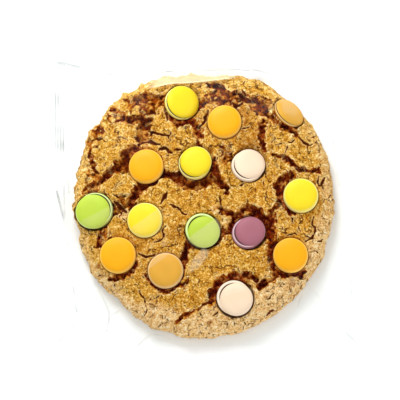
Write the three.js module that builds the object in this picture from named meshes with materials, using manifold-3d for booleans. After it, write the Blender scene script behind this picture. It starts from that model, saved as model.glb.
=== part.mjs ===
// A giant cookie with fifteen sugar-coated chocolate buttons baked into its cracked crust, sealed flat in
// a clear film bag. It lies on its underside with the cracked side up. Lengths are millimetres, +Z is up,
// and the origin lies on the surface below it, under the middle of the bag. Positions on the cookie count
// from the cookie's own middle, +X to the right and +Y away from whoever looks at it.

import * as THREE from 'three';
import { mergeVertices } from 'three/addons/utils/BufferGeometryUtils.js';
import Module from 'manifold-3d';

// ---- The cookie's driving dimensions ----

const COOKIE_RADIUS = 57.4; // mean radius at the brim, the widest part of its side
const COOKIE_HEIGHT = 14.5; // the dome's top above the underside
const BRIM_HEIGHT = 4; // the brim's height above the underside
const UNDERCUT = 1.6; // how far the underside's edge stands back from the brim
const DOME_FLATNESS = 4; // exponent of the dome's section: 2 is an ellipse, more is flatter on top

// Broad swells and dents of the outline: [direction in degrees, spread in degrees, mm outwards].
const OUTLINE_LOBES = [
  [10, 9, -1.7], [66, 12, 1.5], [121, 12, 2.0], [143, 11, 1.9], [172, 12, 1.2],
  [190, 6, -0.6], [222, 9, -1.4], [275, 11, 1.3], [318, 19, -2.1],
];

// The crust's unevenness, coarse to fine: [bump size, height].
const CRUST_BUMPS = [[11, 0.5], [5, 0.4]];
const CRUST_BUMPS_FADE = 8; // exponent with which they die away towards the brim
const SIDE_BUMPS = [[6, 0.35]];
const SIDE_BUMPS_FROM = 0.8; // share of the radius from which the side's own bumps set in

// ---- The crevices between the crust's plates: width, then the points each one runs through ----

const CREVICES = [
  { width: 2.2, along: [[-31, 47], [-25, 47.5], [-17.5, 46.3]] },
  { width: 2.0, along: [[-37, 39.5], [-34, 37.5], [-29.5, 37], [-25, 36.5]] },
  { width: 3.0, along: [[-24, 36.5], [-26.5, 33], [-27.5, 29], [-25, 26]] },
  { width: 2.7, along: [[-28, 26], [-33.3, 22.5], [-35.5, 17.5], [-40, 14], [-47, 8.5]] },
  { width: 1.6, along: [[-50.7, 24], [-50, 19], [-48.5, 14.5], [-46.8, 9.5]] },
  { width: 2.4, along: [[-46, 8.5], [-49.5, 7.2], [-53, 5.8]] },
  { width: 3.0, along: [[-22, 8.6], [-27.5, 6.5], [-30, 2.5], [-34.5, -1.5], [-39, -3]] },
  { width: 3.6, along: [[-19, 12.2], [-14.5, 11.2], [-8.5, 8], [-3, 6.8], [5, 8.5], [10.4, 3.7]] },
  { width: 2.0, along: [[3.9, 17], [5, 12.5], [6, 8.5]] },
  { width: 2.0, along: [[-16.5, 39.5], [-12.6, 35.5], [-4.7, 35.7], [-2.2, 31.5], [-2.3, 26]] },
  { width: 1.8, along: [[-3, 43.6], [2, 43.9], [8.5, 44.2], [14, 42.2]] },
  { width: 2.2, along: [[1.5, 52.7], [7, 49.7], [9, 47.6], [14.4, 48], [19.5, 44.7], [27.4, 41.8]] },
  { width: 2.2, along: [[26, 39.4], [29.6, 36.9], [33, 33.6], [37.6, 31.8], [39.4, 28.3]] },
  { width: 1.6, along: [[27.5, 35.6], [24.9, 34], [24.8, 28], [25.5, 22]] },
  { width: 1.6, along: [[29.2, 19.4], [35, 18.6], [40.5, 14.2], [49.2, 13.6]] },
  { width: 2.6, along: [[38.5, 10.5], [33.2, 7.7], [32.2, 3], [33.4, -1], [37.5, -5.8]] },
  { width: 2.2, along: [[33, -2.2], [28.8, -5.7], [29.2, -14], [27.7, -22], [29, -28]] },
  { width: 2.2, along: [[29, -28], [32, -32.3], [38, -32.7], [43.4, -30.5]] },
  { width: 2.2, along: [[5.3, -3.9], [13, -6.3], [19.8, -3.6], [25.6, -9], [29, -10]] },
  { width: 1.9, along: [[13, -7.5], [11.2, -13], [7.1, -15.4], [5.7, -18]] },
  { width: 2.3, along: [[-6.8, -18.7], [-8.3, -24.5], [-9.7, -31.2]] },
  { width: 1.6, along: [[-24.6, -32.4], [-21, -37.6], [-15.1, -39.2], [-8, -35.2]] },
  { width: 1.8, along: [[-41.3, -32.8], [-34.7, -32.4], [-29.3, -27.5]] },
  { width: 1.9, along: [[-43, -12.2], [-44.4, -14.5], [-46, -18.5]] },
  { width: 1.5, along: [[-11.5, -52.3], [-6.5, -49.8], [-1, -47.3], [4.6, -43.9]] },
  { width: 2.2, along: [[3.5, -42.7], [4, -38], [9.3, -33.7], [16.6, -34.2], [22.4, -35]] },
  { width: 1.8, along: [[22.4, -38.9], [26.3, -36.4], [31.4, -33.8]] },
];
const CREVICE_DEPTH_PER_WIDTH = 1.1;
const CREVICE_DEEPEST = 3.4;
const CREVICE_LIP = 1.1; // how far its wall slopes from lip to floor, on each side
const CREVICE_ENDS = [0.9, 0.98]; // shares of the radius between which crevices run out

// ---- The chocolate buttons ----

const BUTTON_HALF_HEIGHT = 3.1;
const BUTTON_PROUD = 2.0; // how far a button's top stands above the crust
const BUTTON_FLATNESS = 3.2; // exponent of its rounded section: 2 is an ellipse, more is flatter
const SEAT_COLLAR = 2.8; // width of the collar of crust that rises to a button's edge
const POCKET_GAP = 0.42; // room between a button and the pocket it sits in

// [shell colour, x, y, diameter, lean in degrees, direction it leans towards in degrees]
const BUTTONS = [
  ['yellow', -10.1, 44.3, 15.4, 9, 100],
  ['orange', 8.7, 35.0, 14.9, 3, 80],
  ['tan', 36.0, 39.0, 14.8, 36, 47],
  ['orange', -25.4, 15.7, 15.2, 3, 150],
  ['yellow', -4.0, 16.8, 14.8, 4, 60],
  ['cream', 19.0, 15.3, 14.9, 6, 40],
  ['yellow', 41.7, 1.9, 15.2, 5, 10],
  ['green', -48.3, -3.3, 16.2, 5, 190],
  ['yellow', -25.9, -8.2, 15.4, 3, 200],
  ['green', -0.7, -13.4, 15.4, 5, 310],
  ['mauve', 19.2, -14.4, 14.8, 5, 10],
  ['orange', -37.8, -23.1, 15.9, 4, 215],
  ['orange', 37.1, -24.2, 15.2, 5, 330],
  ['tan', -16.9, -30.5, 15.5, 3, 240],
  ['cream', 13.1, -42.9, 15.8, 6, 300],
];

const SHELL_COLOURS = {
  yellow: '#f8e540',
  orange: '#fcbc13',
  tan: '#e3a843',
  cream: '#fae4c6',
  green: '#c4dd56',
  mauve: '#b57480',
};

// ---- The film bag, seen as the pillow of clear film round the cookie ----

const BAG_CORNERS = [[58.5, 61.5], [-68.5, 67.5], [-68, -62.5], [66, -62]];
const BAG_EDGE_BOW = [1, 1, 0.5, 2]; // how far each edge bows inwards, from the top edge round to the left
const BAG_CORNER_ROUNDING = 0.03; // share of an edge that each corner's curve takes
const SEAM_THICKNESS = 0.8;
const SEAM_SHARE = 0.8; // where the seam starts, as a share of the way from the cookie to the edge
const FILM_HIGHEST = 8.5; // where the film leaves the cookie's side
const FILM_STEEPEST = 0.9; // rise of the film for each millimetre of margin
const FILM_SAG = { at: 0.4, height: 0.42 }; // the sag of its slope, as shares of the margin and of the height
const FILM_GAP = 0.4;
const BUTTON_BULGE = { direction: 47, spread: 9, out: 2.6 }; // room for the button on the cookie's shoulder

// ---- Mesh fineness ----

const SECTORS = 6;
const DOME_RINGS = 31;
const SIDE_RINGS = 3;
const SECTION_SAMPLES = 120;
const CREVICE_STEPS = 4; // straight steps of a crevice's curve for each of its points
const DRAW_REACH = 0.75; // mesh points nearer than this to a crevice's middle line are moved onto it
const DRAW_LIMIT = 0.92; // share of the radius inside which they are moved
const BUTTON_SIDES = 18;
const BUTTON_RINGS = 7;
const POCKET_SIDES = 14;
const POCKET_RINGS = 3;
const POCKET_CUT = 9; // how far a pocket's cutter reaches above the button's middle
const BAG_POINTS = 72;
const SAME_POINT = 1e-3; // points closer than this are one

const wasm = await Module();
wasm.setup();

// ---- Noise and easing ----

const fraction = (value) => value - Math.floor(value);
const ease = (t) => t * t * (3 - 2 * t);
const mix = (a, b, t) => a + (b - a) * t;
const step = (from, to, value) => ease(THREE.MathUtils.clamp((value - from) / (to - from), 0, 1));
const cellValue = (i, j, seed) => fraction(Math.sin(i * 127.1 + j * 311.7 + seed * 74.7) * 43758.5453);

// Smooth noise from -1 to 1, one bump in each unit cell.
function noise(x, y, seed) {
  const i = Math.floor(x);
  const j = Math.floor(y);
  const u = ease(x - i);
  const v = ease(y - j);
  const low = mix(cellValue(i, j, seed), cellValue(i + 1, j, seed), u);
  const high = mix(cellValue(i, j + 1, seed), cellValue(i + 1, j + 1, seed), u);
  return 2 * mix(low, high, v) - 1;
}

function bumps(x, y, layers) {
  return layers.reduce((sum, [size, height], seed) => sum + height * noise(x / size, y / size, seed + 1), 0);
}

// ---- The cookie's form ----

function bell(direction, centre, spread) {
  const apart = ((direction - centre + 540) % 360) - 180;
  return Math.exp(-((apart / spread) ** 2) / 2);
}

function outlineRadius(angle) {
  const direction = THREE.MathUtils.radToDeg(angle);
  const lobes = OUTLINE_LOBES.map(([centre, spread, out]) => out * bell(direction, centre, spread));
  return lobes.reduce((sum, lobe) => sum + lobe, COOKIE_RADIUS);
}

// The dome over a point at a share of the way from the middle to the outline: flat on top, round shoulders.
function domeHeight(share) {
  return BRIM_HEIGHT + (COOKIE_HEIGHT - BRIM_HEIGHT) * Math.sqrt(Math.max(0, 1 - share ** DOME_FLATNESS));
}

function shareOut(x, y) {
  return Math.hypot(x, y) / outlineRadius(Math.atan2(y, x));
}

// Each button's middle and axis, at the depth where its top stands proud of the crust.
const seats = BUTTONS.map(([, x, y, diameter, lean, towards]) => {
  const tilt = THREE.MathUtils.degToRad(lean);
  const direction = THREE.MathUtils.degToRad(towards);
  const axis = new THREE.Vector3(
    Math.sin(tilt) * Math.cos(direction), Math.sin(tilt) * Math.sin(direction), Math.cos(tilt));
  const z = domeHeight(shareOut(x, y)) + BUTTON_PROUD - BUTTON_HALF_HEIGHT;
  return { radius: diameter / 2, axis, middle: new THREE.Vector3(x, y, z) };
});

// Lifts the crust to the tilted mid-plane of any button nearby, so that each one is held round its edge.
function liftToSeats(x, y, z) {
  let height = z;
  for (const { radius, axis, middle } of seats) {
    const far = Math.hypot(x - middle.x, y - middle.y) - radius;
    if (far > SEAT_COLLAR) continue;
    const plane = middle.z - (axis.x * (x - middle.x) + axis.y * (y - middle.y)) / axis.z;
    height = mix(height, Math.max(height, plane), 1 - step(0, SEAT_COLLAR, far));
  }
  return height;
}

const creviceLines = CREVICES.map(({ width, along }) => {
  const curve = new THREE.SplineCurve(along.map(([x, y]) => new THREE.Vector2(x, y)));
  return { width, line: curve.getPoints(CREVICE_STEPS * along.length) };
});

// The point of a line that is nearest to x, y, and how far away it is.
function nearestOnLine(x, y, line) {
  let nearest = { away: Infinity };
  for (let i = 1; i < line.length; i++) {
    const [a, b] = [line[i - 1], line[i]];
    const [dx, dy] = [b.x - a.x, b.y - a.y];
    const t = THREE.MathUtils.clamp(((x - a.x) * dx + (y - a.y) * dy) / (dx * dx + dy * dy), 0, 1);
    const [px, py] = [a.x + t * dx, a.y + t * dy];
    const away = Math.hypot(x - px, y - py);
    if (away < nearest.away) nearest = { away, x: px, y: py };
  }
  return nearest;
}

function creviceDepth(x, y) {
  let deepest = 0;
  for (const { width, line } of creviceLines) {
    const { away } = nearestOnLine(x, y, line);
    const open = 1 - step(width / 2 - CREVICE_LIP, width / 2 + CREVICE_LIP, away);
    deepest = Math.max(deepest, open * Math.min(CREVICE_DEEPEST, width * CREVICE_DEPTH_PER_WIDTH));
  }
  return deepest;
}

// Moves a mesh point that is close to a crevice's middle line onto it, so that the groove's floor runs clean.
function drawnToCrevice(x, y) {
  const nearest = creviceLines
    .map(({ line }) => nearestOnLine(x, y, line))
    .reduce((a, b) => (b.away < a.away ? b : a));
  return nearest.away < DRAW_REACH ? [nearest.x, nearest.y] : [x, y];
}

function crustHeight(x, y, share) {
  const bumpy = domeHeight(share) + bumps(x, y, CRUST_BUMPS) * (1 - share ** CRUST_BUMPS_FADE);
  return liftToSeats(x, y, bumpy) - creviceDepth(x, y) * (1 - step(...CREVICE_ENDS, share));
}

// The section from the top's middle out to the brim at even steps, as shares of the outline's radius.
function domeSteps() {
  const section = Array.from({ length: SECTION_SAMPLES + 1 }, (_, i) => {
    const share = Math.sqrt(Math.sin((Math.PI / 2) * (i / SECTION_SAMPLES)));
    return new THREE.Vector2(share * COOKIE_RADIUS, domeHeight(share));
  });
  return new THREE.SplineCurve(section).getSpacedPoints(DOME_RINGS).map((p) => p.x / COOKIE_RADIUS);
}

// A point of the dome, or with `down` from 0 to 1 one of the side, from the brim to the underside.
function cookiePoint(share, down, angle) {
  const outline = outlineRadius(angle);
  const side = bumps(outline * Math.cos(angle), outline * Math.sin(angle), SIDE_BUMPS);
  const radius = outline * share + side * step(SIDE_BUMPS_FROM, 1, share) - UNDERCUT * down ** 2;
  const [x, y] = [radius * Math.cos(angle), radius * Math.sin(angle)];
  if (down > 0) return [x, y, BRIM_HEIGHT * (1 - down)];
  if (share > DRAW_LIMIT) return [x, y, crustHeight(x, y, share)];
  const drawn = drawnToCrevice(x, y);
  return [...drawn, crustHeight(...drawn, shareOut(...drawn))];
}

// Rings of 6, 12, 18... points joined by even triangles, closed below by a fan.
function cookieGeometry() {
  const shares = domeSteps();
  const rings = DOME_RINGS + SIDE_RINGS;
  const points = [cookiePoint(0, 0, 0)];
  for (let ring = 1; ring <= rings; ring++) {
    const share = shares[Math.min(ring, DOME_RINGS)];
    const down = Math.max(0, ring - DOME_RINGS) / SIDE_RINGS;
    const count = SECTORS * ring;
    for (let i = 0; i < count; i++) points.push(cookiePoint(share, down, (2 * Math.PI * i) / count));
  }
  const first = (ring) => (ring === 0 ? 0 : 1 + (SECTORS * ring * (ring - 1)) / 2);
  const at = (ring, i) => first(ring) + (ring === 0 ? 0 : i % (SECTORS * ring));
  const faces = [];
  for (let ring = 1; ring <= rings; ring++) {
    for (let sector = 0; sector < SECTORS; sector++) {
      for (let i = 0; i < ring; i++) {
        const outer = sector * ring + i;
        const inner = sector * (ring - 1) + i;
        faces.push(at(ring - 1, inner), at(ring, outer), at(ring, outer + 1));
        if (i < ring - 1) faces.push(at(ring - 1, inner), at(ring, outer + 1), at(ring - 1, inner + 1));
      }
    }
  }
  points.push([0, 0, 0]);
  const under = points.length - 1;
  for (let i = 0; i < SECTORS * rings; i++) faces.push(under, at(rings, i + 1), at(rings, i));
  return new THREE.BufferGeometry()
    .setAttribute('position', new THREE.Float32BufferAttribute(points.flat(), 3))
    .setIndex(faces);
}

// ---- A button, and the cutter for its pocket ----

// The rounded section of a button from its lowest point to its highest, grown by `gap`.
function buttonSection(radius, gap, rings, last = Math.PI) {
  return Array.from({ length: rings + 1 }, (_, i) => {
    const turn = last * (i / rings);
    const out = Math.abs(Math.sin(turn)) ** (2 / BUTTON_FLATNESS);
    return new THREE.Vector2((radius + gap) * out, -(BUTTON_HALF_HEIGHT + gap) * Math.cos(turn));
  });
}

function buttonGeometry(radius) {
  const section = buttonSection(radius, 0, BUTTON_RINGS);
  section[BUTTON_RINGS].x = 0;
  return new THREE.LatheGeometry(section, BUTTON_SIDES).rotateX(Math.PI / 2);
}

function pocketGeometry(radius) {
  const section = buttonSection(radius, POCKET_GAP, POCKET_RINGS, Math.PI / 2);
  section.push(new THREE.Vector2(radius + POCKET_GAP, POCKET_CUT), new THREE.Vector2(0, POCKET_CUT));
  return new THREE.LatheGeometry(section, POCKET_SIDES).rotateX(Math.PI / 2);
}

function seatMatrix({ axis, middle }) {
  const turn = new THREE.Quaternion().setFromUnitVectors(new THREE.Vector3(0, 0, 1), axis);
  return new THREE.Matrix4().compose(middle, turn, new THREE.Vector3(1, 1, 1));
}

// ---- Solids ----

function solidFrom(geometry) {
  const bare = geometry.clone().deleteAttribute('normal').deleteAttribute('uv');
  const merged = mergeVertices(bare, SAME_POINT);
  return new wasm.Manifold(new wasm.Mesh({
    numProp: 3,
    vertProperties: merged.attributes.position.array,
    triVerts: new Uint32Array(merged.index.array),
  }));
}

function geometryFrom(solid) {
  const mesh = solid.getMesh();
  const geometry = new THREE.BufferGeometry()
    .setAttribute('position', new THREE.BufferAttribute(mesh.vertProperties, 3))
    .setIndex(new THREE.BufferAttribute(mesh.triVerts, 1));
  geometry.computeVertexNormals();
  return geometry;
}

function pocketedCookie() {
  const pockets = seats.map((seat) => solidFrom(pocketGeometry(seat.radius).applyMatrix4(seatMatrix(seat))));
  return geometryFrom(pockets.reduce((solid, pocket) => solid.subtract(pocket), solidFrom(cookieGeometry())));
}

// ---- The film bag ----

// Points round the bag's edge, counter-clockwise, with bowed edges and small round corners.
function bagOutline() {
  const corners = BAG_CORNERS.map(([x, y]) => new THREE.Vector2(x, y));
  const outline = new THREE.CurvePath();
  corners.forEach((corner, i) => {
    const next = corners[(i + 1) % corners.length];
    const after = corners[(i + 2) % corners.length];
    const inwards = next.clone().sub(corner).normalize().rotateAround(new THREE.Vector2(), Math.PI / 2);
    const middle = corner.clone().lerp(next, 0.5).addScaledVector(inwards, 2 * BAG_EDGE_BOW[i]);
    const start = corner.clone().lerp(next, BAG_CORNER_ROUNDING);
    const end = corner.clone().lerp(next, 1 - BAG_CORNER_ROUNDING);
    outline.add(new THREE.QuadraticBezierCurve(start, middle, end));
    outline.add(new THREE.QuadraticBezierCurve(end, next, next.clone().lerp(after, BAG_CORNER_ROUNDING)));
  });
  return outline.getSpacedPoints(BAG_POINTS).slice(0, BAG_POINTS);
}

// One section of the film pillow at a point of the bag's edge, as a closed loop from the cookie outwards.
function bagSection(edge) {
  const angle = Math.atan2(edge.y, edge.x);
  const { direction, spread, out } = BUTTON_BULGE;
  const bulge = out * bell(THREE.MathUtils.radToDeg(angle), direction, spread);
  const side = SIDE_BUMPS.reduce((sum, [, height]) => sum + height, 0);
  const inside = (outlineRadius(angle) + side + FILM_GAP + bulge) / edge.length();
  const margin = edge.length() * (1 - inside);
  const top = Math.min(FILM_HIGHEST, SEAM_THICKNESS + FILM_STEEPEST * margin);
  const outwardsAndUp = [
    [0, 0],
    [1, 0],
    [1, SEAM_THICKNESS],
    [SEAM_SHARE, SEAM_THICKNESS],
    [FILM_SAG.at, FILM_SAG.height * top],
    [0, top],
  ];
  return outwardsAndUp.map(([outwards, z]) => {
    const share = mix(inside, 1, outwards);
    return [edge.x * share, edge.y * share, z];
  });
}

function bagGeometry() {
  const sections = bagOutline().map(bagSection);
  const loop = sections[0].length;
  const at = (i, j) => (i % sections.length) * loop + (j % loop);
  const faces = [];
  for (let i = 0; i < sections.length; i++) {
    for (let j = 0; j < loop; j++) {
      faces.push(at(i, j), at(i + 1, j + 1), at(i, j + 1), at(i, j), at(i + 1, j), at(i + 1, j + 1));
    }
  }
  const geometry = new THREE.BufferGeometry()
    .setAttribute('position', new THREE.Float32BufferAttribute(sections.flat(2), 3))
    .setIndex(faces);
  geometry.computeVertexNormals();
  return geometry;
}

// ---- Materials ----

const crust = new THREE.MeshStandardMaterial({ color: '#c58d3c', roughness: 0.85, metalness: 0 });
const film = new THREE.MeshStandardMaterial({
  color: '#f4f7f8', roughness: 0.15, metalness: 0, transparent: true, opacity: 0.2,
});
const shell = (colour) => new THREE.MeshStandardMaterial({
  color: SHELL_COLOURS[colour], roughness: 0.35, metalness: 0,
});

// ---- The whole ----

function named(name, geometry, material) {
  const mesh = new THREE.Mesh(geometry, material);
  mesh.name = name;
  return mesh;
}

function buttonMesh(seat, index) {
  const colour = BUTTONS[index][0];
  const number = String(index + 1).padStart(2, '0');
  const mesh = named(`button_${number}_${colour}`, buttonGeometry(seat.radius), shell(colour));
  mesh.applyMatrix4(seatMatrix(seat));
  return mesh;
}

const packedCookie = new THREE.Group();
packedCookie.add(named('cookie', pocketedCookie(), crust));
packedCookie.add(...seats.map(buttonMesh));
packedCookie.add(named('film_bag', bagGeometry(), film));

// The origin goes under the middle of the whole.
const extent = new THREE.Box3().setFromObject(packedCookie, true);
const middle = extent.getCenter(new THREE.Vector3());
packedCookie.position.set(-middle.x, -middle.y, -extent.min.z);

const part = new THREE.Group();
part.add(packedCookie);
part.updateMatrixWorld(true);

export default part;
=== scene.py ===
"""A giant cookie with chocolate buttons in its cracked crust, sealed in a clear film bag.

It lies on a pale floor with the cracked side up, and the camera looks down on it. Sizes are in millimetres
and are counted from the cookie's own middle, until `placed` puts them into the frame in metres.
"""

import math

import bpy
import numpy as np
from mathutils import Matrix, Vector


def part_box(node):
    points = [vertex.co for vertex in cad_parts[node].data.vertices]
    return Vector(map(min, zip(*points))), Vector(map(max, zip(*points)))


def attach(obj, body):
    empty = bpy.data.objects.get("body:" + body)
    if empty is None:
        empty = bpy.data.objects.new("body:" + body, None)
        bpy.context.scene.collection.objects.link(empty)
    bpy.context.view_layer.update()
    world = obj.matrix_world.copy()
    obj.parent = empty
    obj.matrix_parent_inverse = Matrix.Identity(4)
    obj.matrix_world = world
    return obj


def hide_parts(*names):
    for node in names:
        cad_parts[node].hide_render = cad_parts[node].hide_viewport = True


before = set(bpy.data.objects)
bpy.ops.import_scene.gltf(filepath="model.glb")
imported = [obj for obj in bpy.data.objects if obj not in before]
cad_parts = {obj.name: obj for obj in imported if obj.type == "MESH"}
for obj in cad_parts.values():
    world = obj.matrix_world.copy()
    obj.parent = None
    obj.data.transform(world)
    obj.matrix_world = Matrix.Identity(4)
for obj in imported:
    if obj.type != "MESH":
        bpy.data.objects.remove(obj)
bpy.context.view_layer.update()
bpy.ops.object.select_all(action="DESELECT")

# ---- Camera ----
# A plain camera straight over the cookie, leaned a little to its near side, so that the pale lower edge of
# the crust shows. The cookie fills two thirds of the picture's width.

MM = 0.001
MIDDLE_BUTTON = Vector((-4.0, 16.8, 0))  # where button 5 sits on the cookie
button_low, button_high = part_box("button_05_yellow")
button_middle = (button_low + button_high) / 2
COOKIE_MIDDLE = Vector((button_middle.x, button_middle.y, 0)) - MIDDLE_BUTTON * MM

VIEW_TILT = math.radians(12)  # leaned towards the near side
VIEW_TURN = math.radians(4.5)  # leaned towards the right
VIEW_DISTANCE = 1800
VIEW_TARGET = Vector((-2.4, 1.6, 8))
VIEW_WIDTH = 173.9  # what the picture spans at the target


def placed(point):
    """A point in millimetres from the cookie's middle, in the frame."""
    return COOKIE_MIDDLE + Vector(point) * MM


def aimed(place, target, up):
    """The pose of a camera or lamp at a place that looks at a target."""
    back = (place - target).normalized()
    right = up.cross(back).normalized()
    turn = Matrix((right, back.cross(right), back)).transposed()
    return Matrix.Translation(place) @ turn.to_4x4()


view_direction = Vector((
    math.sin(VIEW_TURN) * math.cos(VIEW_TILT),
    -math.sin(VIEW_TILT),
    math.cos(VIEW_TURN) * math.cos(VIEW_TILT)))
camera_data = bpy.data.cameras.new("camera")
camera_data.angle = 2 * math.atan(VIEW_WIDTH / 2 / VIEW_DISTANCE)
camera = bpy.data.objects.new("camera", camera_data)
camera.matrix_world = aimed(
    placed(VIEW_TARGET + view_direction * VIEW_DISTANCE), placed(VIEW_TARGET), Vector((0, 1, 0)))
bpy.context.scene.collection.objects.link(camera)
bpy.context.scene.camera = camera
bpy.context.scene.view_settings.view_transform = "Standard"

# ---- Floor and light ----
# A sheet of white paper under the bag. A broad soft light stands beyond the far edge and another fills in
# from the near right, and the pale room does the rest, so that shadows are short and soft.

FLOOR_SIZE = 3000
FLOOR_DROP = 0.05
PAPER_CLOUD_SIZE = 40
LIGHT_TARGET = (0, 0, 5)
ROOM_BRIGHTNESS = 0.77
MIX_FACTOR, MIX_A, MIX_B, MIX_OUT = 0, 6, 7, 2  # a colour Mix node's sockets


def colour(hex_code):
    """An sRGB hex colour as the linear colour that a shader takes."""
    parts = [int(hex_code[i:i + 2], 16) / 255 for i in (1, 3, 5)]
    return [p / 12.92 if p <= 0.04045 else ((p + 0.055) / 1.055) ** 2.4 for p in parts] + [1.0]


def scale_of(size):
    """The scale of a noise or cell texture whose bumps are this many millimetres across."""
    return 1 / (size * MM)


def new_material(name):
    """An empty node material."""
    material = bpy.data.materials.new(name)
    material.use_nodes = True
    material.node_tree.nodes.clear()
    return material


def add(material, kind, inputs=None, output=0, stops=(), **settings):
    """Adds a node with its settings and links, and gives one of its outputs.

    An input is a plain value, an sRGB hex colour or the output of another node. Stops are a colour ramp's
    positions and colours.
    """
    node = material.node_tree.nodes.new("ShaderNode" + kind)
    for name, value in settings.items():
        setattr(node, name, value)
    for socket, value in (inputs or {}).items():
        if isinstance(value, bpy.types.NodeSocket):
            material.node_tree.links.new(value, node.inputs[socket])
        else:
            node.inputs[socket].default_value = colour(value) if isinstance(value, str) else value
    if stops:
        while len(node.color_ramp.elements) < len(stops):
            node.color_ramp.elements.new(1)
        for element, (position, hex_code) in zip(node.color_ramp.elements, stops):
            element.position = position
            element.color = colour(hex_code)
    return node.outputs[output] if len(node.outputs) else None


def paper_material():
    """Matt white paper with a faint unevenness."""
    material = new_material("white_paper")
    place = add(material, "TexCoord", output="Object")
    clouds = add(material, "TexNoise",
                 {"Vector": place, "Scale": scale_of(PAPER_CLOUD_SIZE), "Detail": 2}, "Fac")
    tone = add(material, "Mix", {MIX_FACTOR: clouds, MIX_A: "#fbfcfb", MIX_B: "#f5f6f5"}, MIX_OUT,
               data_type="RGBA")
    surface = add(material, "BsdfPrincipled", {"Base Color": tone, "Roughness": 0.9})
    add(material, "OutputMaterial", {"Surface": surface})
    return material


bpy.ops.mesh.primitive_plane_add(size=FLOOR_SIZE * MM, location=(0, 0, -FLOOR_DROP * MM))
floor = bpy.context.object
floor.name = "floor"
floor.data.materials.append(paper_material())


def soft_light(name, place, size, power):
    """A square soft box that faces the cookie."""
    data = bpy.data.lights.new(name, "AREA")
    data.size = size * MM
    data.energy = power
    lamp = bpy.data.objects.new(name, data)
    lamp.matrix_world = aimed(placed(place), placed(LIGHT_TARGET), Vector((0, 1, 0)))
    bpy.context.scene.collection.objects.link(lamp)


soft_light("far_light", (-150, 430, 400), 320, 3.9)
soft_light("near_light", (280, -420, 280), 300, 0.9)

world = bpy.data.worlds.new("pale_room")
world.use_nodes = True
room = world.node_tree.nodes["Background"]
room.inputs["Color"].default_value = colour("#fdfeff")
room.inputs["Strength"].default_value = ROOM_BRIGHTNESS
bpy.context.scene.world = world

# ---- The cookie's crust ----
# A round of sugary dough that spread and rose in the oven until its skin broke into plates. The skin is
# golden, dry and grainy, the crumb in the cracks is dark and moist and darkened further with painted shade,
# and the edge baked on the tray is paler and painted lighter still at the near side and right.

COOKIE_RADIUS = 57.4
COOKIE_HEIGHT = 14.5
BRIM_HEIGHT = 4
UNDERCUT = 1.6
DOME_FLATNESS = 4

# Broad swells and dents of the outline: direction in degrees, spread in degrees, mm outwards.
OUTLINE_LOBES = (
    (10, 9, -1.7), (68, 11, 2.4), (104, 9, 1.0), (121, 11, 3.6), (143, 10, 2.8), (172, 10, 0.6),
    (190, 6, -0.6), (225, 8, -1.0), (242, 7, 0.9), (260, 8, 1.3), (290, 8, 1.3), (309, 7, 0.5),
    (322, 17, -1.9), (352, 9, -1.0),
)

# The wide crevices between plates: width, then the points each one runs through.
CREVICES = (
    (2.2, (-31, 47), (-25, 47.5), (-17.5, 46.3)),
    (2.0, (-37, 39.5), (-34, 37.5), (-29.5, 37), (-25, 36.5)),
    (3.0, (-24, 36.5), (-26.5, 33), (-27.5, 29), (-25, 26)),
    (2.7, (-28, 26), (-33.3, 22.5), (-35.5, 17.5), (-40, 14), (-47, 8.5)),
    (1.6, (-50.7, 24), (-50, 19), (-48.5, 14.5), (-46.8, 9.5)),
    (2.4, (-46, 8.5), (-49.5, 7.2), (-53, 5.8)),
    (3.0, (-22, 8.6), (-27.5, 6.5), (-30, 2.5), (-34.5, -1.5), (-39, -3)),
    (3.0, (-19, 12.2), (-14.5, 11.2), (-8.5, 8), (-3, 6.8), (5, 8.5), (10.4, 3.7)),
    (2.0, (3.9, 17), (5, 12.5), (6, 8.5)),
    (2.0, (-16.5, 39.5), (-12.6, 35.5), (-4.7, 35.7), (-2.2, 31.5), (-2.3, 26)),
    (1.8, (-3, 43.6), (2, 43.9), (8.5, 44.2), (14, 42.2)),
    (2.2, (1.5, 52.7), (7, 49.7), (9, 47.6), (14.4, 48), (19.5, 44.7), (27.4, 41.8)),
    (2.2, (26, 39.4), (29.6, 36.9), (33, 33.6), (37.6, 31.8), (39.4, 28.3)),
    (1.6, (27.5, 35.6), (24.9, 34), (24.8, 28), (25.5, 22)),
    (1.6, (29.2, 19.4), (35, 18.6), (40.5, 14.2), (49.2, 13.6)),
    (2.6, (38.5, 10.5), (33.2, 7.7), (32.2, 3), (33.4, -1), (37.5, -5.8)),
    (2.2, (33, -2.2), (28.8, -5.7), (29.2, -14), (27.7, -22), (29, -28)),
    (2.2, (29, -28), (32, -32.3), (38, -32.7), (43.4, -30.5)),
    (2.2, (5.3, -3.9), (13, -6.3), (19.8, -3.6), (25.6, -9), (29, -10)),
    (1.9, (13, -7.5), (11.2, -13), (7.1, -15.4), (5.7, -18)),
    (2.3, (-6.8, -18.7), (-8.3, -24.5), (-9.7, -31.2)),
    (1.6, (-24.6, -32.4), (-21, -37.6), (-15.1, -39.2), (-8, -35.2)),
    (1.8, (-41.3, -32.8), (-34.7, -32.4), (-29.3, -27.5)),
    (1.9, (-43, -12.2), (-44.4, -14.5), (-46, -18.5)),
    (0.9, (-11.5, -52.3), (-6.5, -49.8), (-1, -47.3), (4.6, -43.9)),
    (2.2, (3.5, -42.7), (4, -38), (9.3, -33.7), (16.6, -34.2), (22.4, -35)),
    (1.8, (22.4, -38.9), (26.3, -36.4), (31.4, -33.8)),
)

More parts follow.
